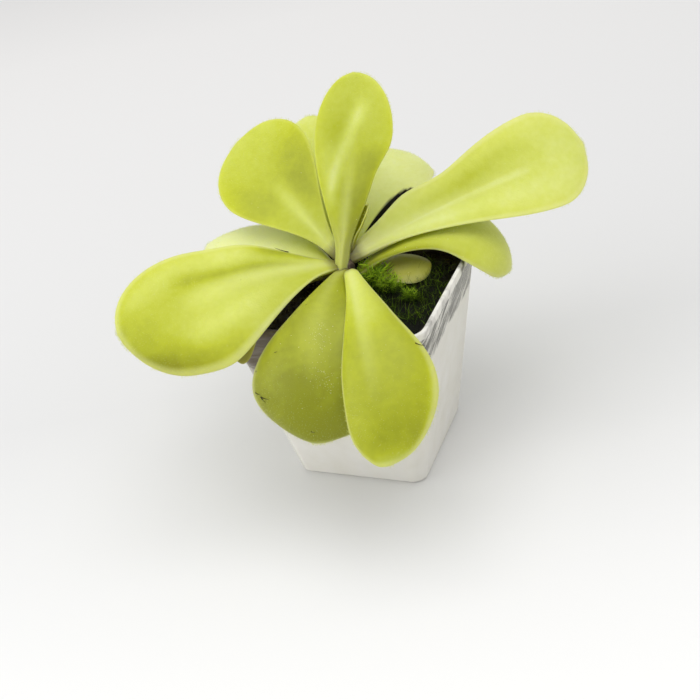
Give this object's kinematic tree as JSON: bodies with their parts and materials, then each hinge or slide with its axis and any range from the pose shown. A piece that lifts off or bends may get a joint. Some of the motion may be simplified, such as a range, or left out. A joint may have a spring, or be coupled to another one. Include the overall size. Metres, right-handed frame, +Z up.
{
  "type": "potted butterwort",
  "caption": "Butterwort rosette of obovate fleshy leaves on a short stem, growing in a small square tapered nursery pot with potting mix and moss.",
  "frame": {"origin": "centre of the pot's flat underside", "axes": "+Z up through the pot; X and Y parallel to the sides of the square pot, with the two drooping front leaves towards -Y"},
  "size_m": [0.096, 0.0911, 0.0907],
  "materials": {
    "pot_plastic": "thin translucent white polypropylene with grey marbling, satin",
    "potting_mix": "moist dark peat mix, rough",
    "moss": "soft living moss",
    "stem": "pale brown plant tissue",
    "leaf": "fleshy yellow-green leaf, soft satin with fine glandular hair",
    "old_leaf": "shaded olive leaf, satin"
  },
  "bodies": {
    "root": {"pot": "pot_plastic", "soil": "potting_mix", "moss": "moss", "stem": "stem", "leaf_upright": "leaf", "leaf_young": "leaf", "leaf_back_left": "leaf", "leaf_long_right": "leaf", "leaf_long_left": "leaf", "leaf_front_left": "leaf", "leaf_front_right": "leaf", "leaf_low_right": "leaf", "leaf_back_right": "leaf", "leaf_back": "leaf", "leaf_low_left": "leaf", "leaf_under_left": "old_leaf", "leaf_under_back": "old_leaf", "leaf_small": "old_leaf"}
  },
  "joints": []
}
